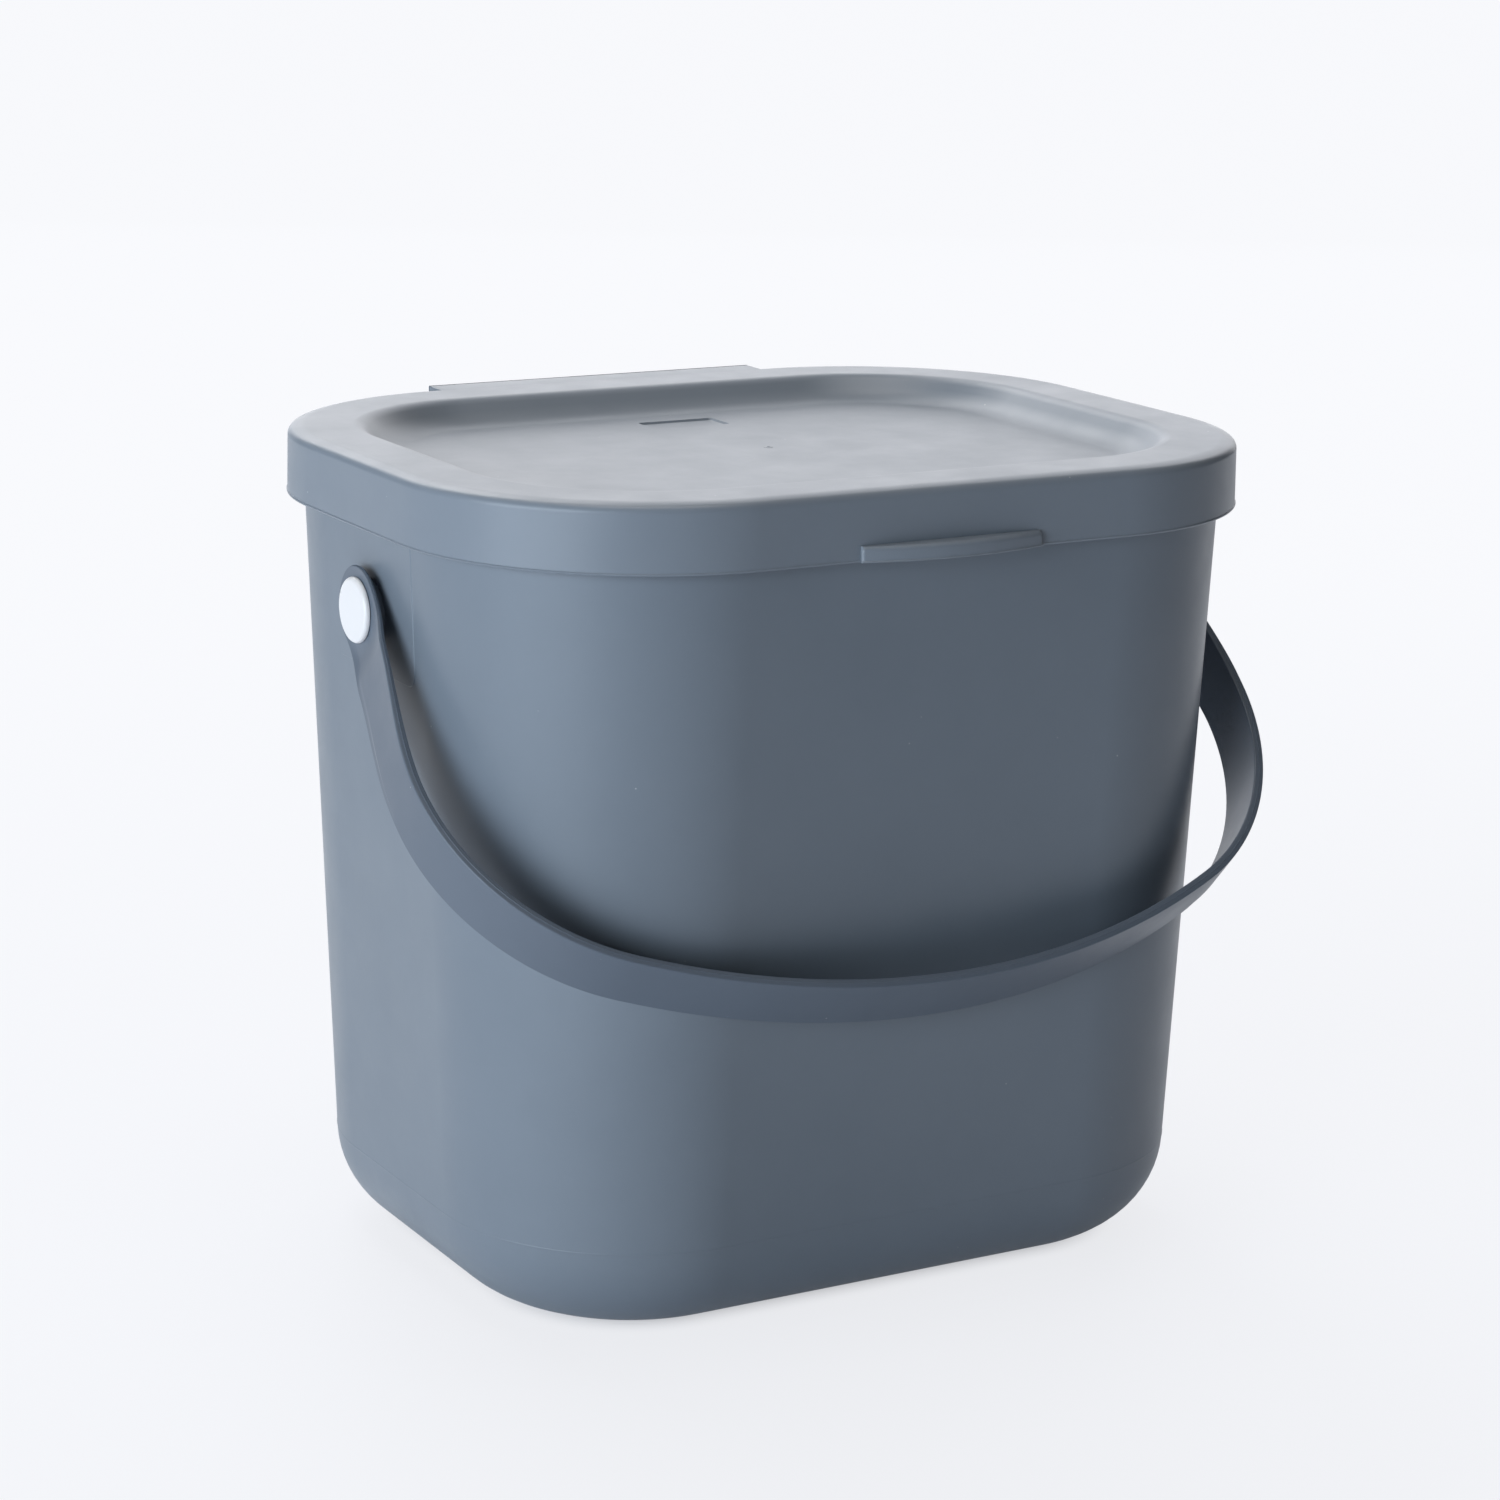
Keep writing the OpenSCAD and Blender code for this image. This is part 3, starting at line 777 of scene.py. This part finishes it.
def strap_fit(part, share, t, w, along):
    """A section point's thickness and width at a distance from the pivot: the arms widen to the eyes."""
    half = strap_w / 2
    widen = 1 + (eye_r / half - 1) * min(max((taper_v - along) / taper_v, 0), 1)
    step_h = (arm_face_h * eased(along, foot_v, arm_v)
              + (face_h - arm_face_h) * eased(along, arm_v, corner_v))
    if part in (RAMP, LEVEL_RAMP):
        grip = max((along - taper_v) / (reach - taper_v), 0)
        ramp_w = arm_ramp_w + (grip_ramp_w - arm_ramp_w) * eased(along, arm_v, taper_v + arm_v)
        w = half * widen - margin_w - (grip_margin_w - margin_w) * grip + ramp_w * (0.5 - share)
        return (t_face, -w) if part == LEVEL_RAMP else (t_face - step_h * (1 - eased(share, 0, 1)), w)
    if part == MARGIN:
        t += face_h - step_h
    elif part == BACK_LINE:
        t += (face_h - step_h) / 2
    return t, w * widen


def arm_point(t, w, along):
    """Where a section point lies on the arm, square to faces that bend with the distance from the pivot."""
    away = sqrt(along ** 2 + w ** 2)
    inner, outer = arm_faces(away)
    slant = 0
    if along > 1:
        slant = (sum(arm_faces(away + 0.5)) - sum(arm_faces(away - 0.5))) / 2 * along / away
    level = (t + strap_t / 2) / (strap_t + face_h)
    return inner + (outer - inner) * level, along - (level - 0.5) * (outer - inner) * slant, w


def strap_section(bm):
    """The section at the middle of the bail, drawn as (thickness, width) in the XZ plane, front at -Z."""
    part = bm.verts.layers.int.new("part")
    share = bm.verts.layers.float.new("share")
    half = strap_w / 2
    edge = half - strap_lean
    r = strap_round
    inner = -strap_t / 2
    middle = (t_face + inner) / 2
    rise = [0, 0.25, 0.5, 0.75, 1]
    rim = Wire(bm, t_face, 0)
    rim.tip[part] = FACE

    def drawn(kind, points, shares=(0, 0, 0)):
        """Draws on to points of one part; a ramp's points also hold their share of its rise."""
        for point, height_share in zip(points, shares):
            rim.line(point)
            rim.tip[part] = kind
            rim.tip[share] = height_share
        return rim

    drawn(LEVEL_RAMP, [(t_face, -1 - s) for s in rise[::-1]], rise[::-1])
    drawn(FACE, [(t_face, r - edge)]).arc(t_face - r, r - edge, -90, 4)
    drawn(FRONT_LINE, [(middle + flash_w, flash_out - half), (middle, -half),
                       (middle - flash_w, flash_out - half)])
    drawn(INNER, [(inner + r, -edge)]).arc(inner + r, r - edge, -90, 4)
    drawn(INNER, [(inner, 0), (inner, edge - r)]).arc(inner + r, edge - r, -90, 4)
    drawn(BACK_LINE, [(-flash_w, half - flash_out), (0, half), (flash_w, half - flash_out)])
    drawn(MARGIN, [(strap_t / 2 - r, edge)]).arc(strap_t / 2 - r, edge - r, -90, 4)
    drawn(RAMP, [(strap_t / 2 + face_h * s, 2 - s) for s in rise], rise).close()
    return part, share


def strap():
    """Half the bail: the section is spun along the bow and the corner and run down the arm to the pivot."""
    bm = bmesh.new()
    part, share = strap_section(bm)
    thick = bm.verts.layers.float.new("thick")
    wide = bm.verts.layers.float.new("wide")
    for v in bm.verts:
        v[thick], v[wide] = v.co.x, v.co.z

    bmesh.ops.rotate(bm, verts=bm.verts, matrix=Matrix.Rotation(radians(90), 3, "Z"))
    bmesh.ops.translate(bm, verts=bm.verts, vec=(0, reach, 0))
    turn_at = degrees(atan2(corner_v - bow_v, corner_u))
    last = turn_round(bm, bm.edges[:], (0, bow_v, 0), turn_at - 90, 24)
    last = turn_round(bm, last, (corner_u, corner_v, 0), -turn_at, 32)
    for v in bm.verts:
        v.co.z = strap_fit(v[part], v[share], v[thick], v[wide], v.co.y)[1]

    stops = [corner_v + (arm_v - corner_v) * i / 14 for i in range(1, 15)]
    stops += [arm_v + (foot_v - arm_v) * i / 10 for i in range(1, 11)]
    stops += [foot_v * (1 - i / 5) for i in range(1, 6)]
    for along in stops:
        last = run_out(bm, last, (0, 0, 0))
        for v in ends_of(last):
            v.co = arm_point(*strap_fit(v[part], v[share], v[thick], v[wide], along), along)
    return bm


def eye_end(bm):
    """Closes the eye by spinning the front half of the end section about the pivot."""
    def at_pivot(v):
        return abs(v.co.y) < 0.001 and v.co.z < 0.001 and v.co.x > 0

    end = [e for e in bm.edges if all(at_pivot(v) for v in e.verts)]
    bmesh.ops.spin(bm, geom=end + ends_of(end), cent=(arm_u, 0, 0), axis=(1, 0, 0), angle=radians(-180),
                   steps=32)


def eye_pad():
    """The round pad behind an eye, up from the origin and running into the eye."""
    top = pad_t + 0.2
    flat_r = pad_r - pad_round
    return lathe(lambda b: Wire(b, 0, 0).line((flat_r, 0)).arc(flat_r, pad_round, 90, 3)
                 .line((pad_r, top), (0, top)))


def build_handle():
    """The whole moulding: bail, eyes, pads and bores, turned to rest against the tub."""
    bm = strap()
    eye_end(bm)
    bmesh.ops.remove_doubles(bm, verts=bm.verts, dist=near)
    mirrored(bm, "X")
    sealed(bm)
    for side in (-1, 1):
        bore = rod(shank_r + shank_fit, 20)
        for shape, x, operation in ((eye_pad(), boss_face + side_gap, "UNION"),
                                    (bore, boss_face - 5, "DIFFERENCE")):
            bmesh.ops.rotate(shape, verts=shape.verts, matrix=Matrix.Rotation(radians(side * 90), 3, "Y"))
            bmesh.ops.translate(shape, verts=shape.verts, vec=(side * x, 0, 0))
            bm = joined(bm, shape, operation)
    swing = Matrix.Translation(pivot) @ Matrix.Rotation(radians(270) - rest_swing, 4, "X")
    bmesh.ops.transform(bm, matrix=swing, verts=bm.verts)
    return bm


piece("bail_handle", build_handle(), "handle", bail_slate_painted_darker, "handle")


# ---------------------------------------------------------------- pivot pins

def build_pin(side):
    """Button head, shank and a slotted barb that holds it inside the wall."""
    neck_l = head_face - (corner_x + inner_r + pivot.z * slope) + 2 * side_gap
    tip = -neck_l - barb_l
    bm = lathe(lambda b: Wire(b, 0, tip).line((shank_r - barb_out, tip),
                                              (shank_r + barb_out, -neck_l - barb_l / 4),
                                              (shank_r + barb_out, -neck_l), (shank_r, -neck_l),
                                              (shank_r, 0), (head_r - head_chamfer, 0),
                                              (head_r, head_chamfer),
                                              (head_r, head_t - head_round))
               .arc(head_r - head_round, head_t - head_round, 90, 6).line((0, head_t)), 96)
    slot = block((-slot_w / 2, -head_r, tip - 1), (slot_w / 2, head_r, tip + barb_l + neck_l / 2))
    bm = joined(bm, slot, "DIFFERENCE")
    aim(bm, side, head_face)
    return bm


for side, name in ((-1, "left"), (1, "right")):
    piece(name + "_pin", build_pin(side), "bucket", pin_white, name + "_pivot_pin")


# ---------------------------------------------------------------- studio

def camera():
    """A long lens at the caddy's front left, a little above it."""
    lens = bpy.data.cameras.new("studio_camera")
    lens.sensor_width = 36
    lens.lens = 93.6
    stand = bpy.data.objects.new("studio_camera", lens)
    stand.location = (-0.48304, -0.84079, 0.36703)
    stand.rotation_euler = (radians(75.942), radians(-0.995), radians(-29.522))
    bpy.context.collection.objects.link(stand)
    bpy.context.scene.camera = stand


def lamp(name, place, size, power, colour=(1, 1, 1), target=(0, 0, 0.1)):
    """A soft box of a width and a height, turned towards a target."""
    light = bpy.data.lights.new(name, "AREA")
    light.shape = "RECTANGLE"
    light.size, light.size_y = size
    light.energy = power
    light.color = colour
    holder = bpy.data.objects.new(name, light)
    holder.location = place
    holder.rotation_euler = (Vector(target) - Vector(place)).to_track_quat("-Z", "Y").to_euler()
    bpy.context.collection.objects.link(holder)


def pale_floor():
    """White paper that glows to the eye and in reflections, paler further off: the glow fades out under the
    tub's rounded edge, so the bluish paper there makes a painted contact shadow, and in reflections the glow
    is painted stronger behind the tub.
    """
    bm = bmesh.new()
    below = Matrix.Translation((0, 0, -0.1 * MM))
    bmesh.ops.create_grid(bm, x_segments=1, y_segments=1, size=8, matrix=below)
    mesh = bpy.data.meshes.new("floor")
    bm.to_mesh(mesh)
    bm.free()

    material, tree, shader = blank_material("floor_paper")
    # The paper's own bluish tint shows mostly where the glow fades near the tub, and so tints the painted
    # contact shadow.
    shader.inputs["Base Color"].default_value = (0.76, 0.80, 0.87, 1)
    shader.inputs["Roughness"].default_value = 0.6
    glow = node(tree, "ShaderNodeEmission", (0.945, 0.953, 0.982, 1), 1)
    path = node(tree, "ShaderNodeLightPath")
    place = node(tree, "ShaderNodeTexCoord").outputs["Object"]

    # How far a point is outside the rectangle through the centres of the base's corners
    aside = node(tree, "ShaderNodeVectorMath", place, operation="ABSOLUTE")
    corner = (corner_x * MM, corner_y * MM, 0)
    beyond = node(tree, "ShaderNodeVectorMath", aside, corner, operation="SUBTRACT")
    outside = node(tree, "ShaderNodeVectorMath", beyond, (0, 0, 0), operation="MAXIMUM")
    distance = node(tree, "ShaderNodeVectorMath", outside, operation="LENGTH").outputs["Value"]

    # Painted contact shadow: the glow to the eye fades out within 40 mm of the base, leaving it darkest
    # under the tub's rounded edge, and grows slowly paler further off.
    eye_glow_and_painted_contact_shade = maths(tree, "ADD", graded(tree, distance, 18 * MM, 40 * MM, 0, 0.84, "SMOOTHSTEP"),
                       graded(tree, distance, 52 * MM, 900 * MM, 0, 0.15))
    # Painted reflected light: in reflections the paper glows more behind the tub than in front, and less far
    # off.
    depth = node(tree, "ShaderNodeSeparateXYZ", place).outputs["Y"]
    painted_reflection_glow = maths(tree, "MULTIPLY", graded(tree, depth, -100 * MM, 200 * MM, 0.1, 0.8),
                           graded(tree, distance, 300 * MM, 800 * MM, 1, 0.7))
    share = maths(tree, "ADD", maths(tree, "MULTIPLY", path.outputs["Is Camera Ray"], eye_glow_and_painted_contact_shade),
                  maths(tree, "MULTIPLY", path.outputs["Is Glossy Ray"], painted_reflection_glow))
    mix = node(tree, "ShaderNodeMixShader", share, shader, glow)
    feed(tree, mix, tree.nodes["Material Output"].inputs["Surface"])
    mesh.materials.append(material)
    floor = bpy.data.objects.new("studio_floor", mesh)
    bpy.context.collection.objects.link(floor)


def sky(level, seen):
    """Plain light all round at one level, and a paler backdrop where the camera looks past the floor."""
    world = bpy.data.worlds.new("studio")
    bpy.context.scene.world = world
    world.use_nodes = True
    tree = world.node_tree
    around = tree.nodes["Background"]
    around.inputs["Color"].default_value = (0.96, 0.98, 1, 1)
    around.inputs["Strength"].default_value = level
    backdrop = node(tree, "ShaderNodeBackground", seen, 1)
    path = node(tree, "ShaderNodeLightPath")
    mix = node(tree, "ShaderNodeMixShader", path.outputs["Is Camera Ray"], around, backdrop)
    feed(tree, mix, tree.nodes["World Output"].inputs["Surface"])


camera()
pale_floor()
sky(0.035, (0.95, 0.96, 1, 1))
lamp("window_left", (-2.08, -0.66, 0.45), (1.9, 1.2), 49, (0.80, 0.90, 1))
lamp("window_behind", (0.96, 1.68, 0.85), (2.5, 1.7), 25, (0.95, 0.955, 1))
lamp("soft_behind", (0, 1.56, 1.66), (1.3, 1.3), 15)
lamp("soft_top", (0, 0, 2.3), (1.3, 1.3), 17, (1, 0.94, 0.88))
bpy.context.scene.view_settings.view_transform = "Standard"
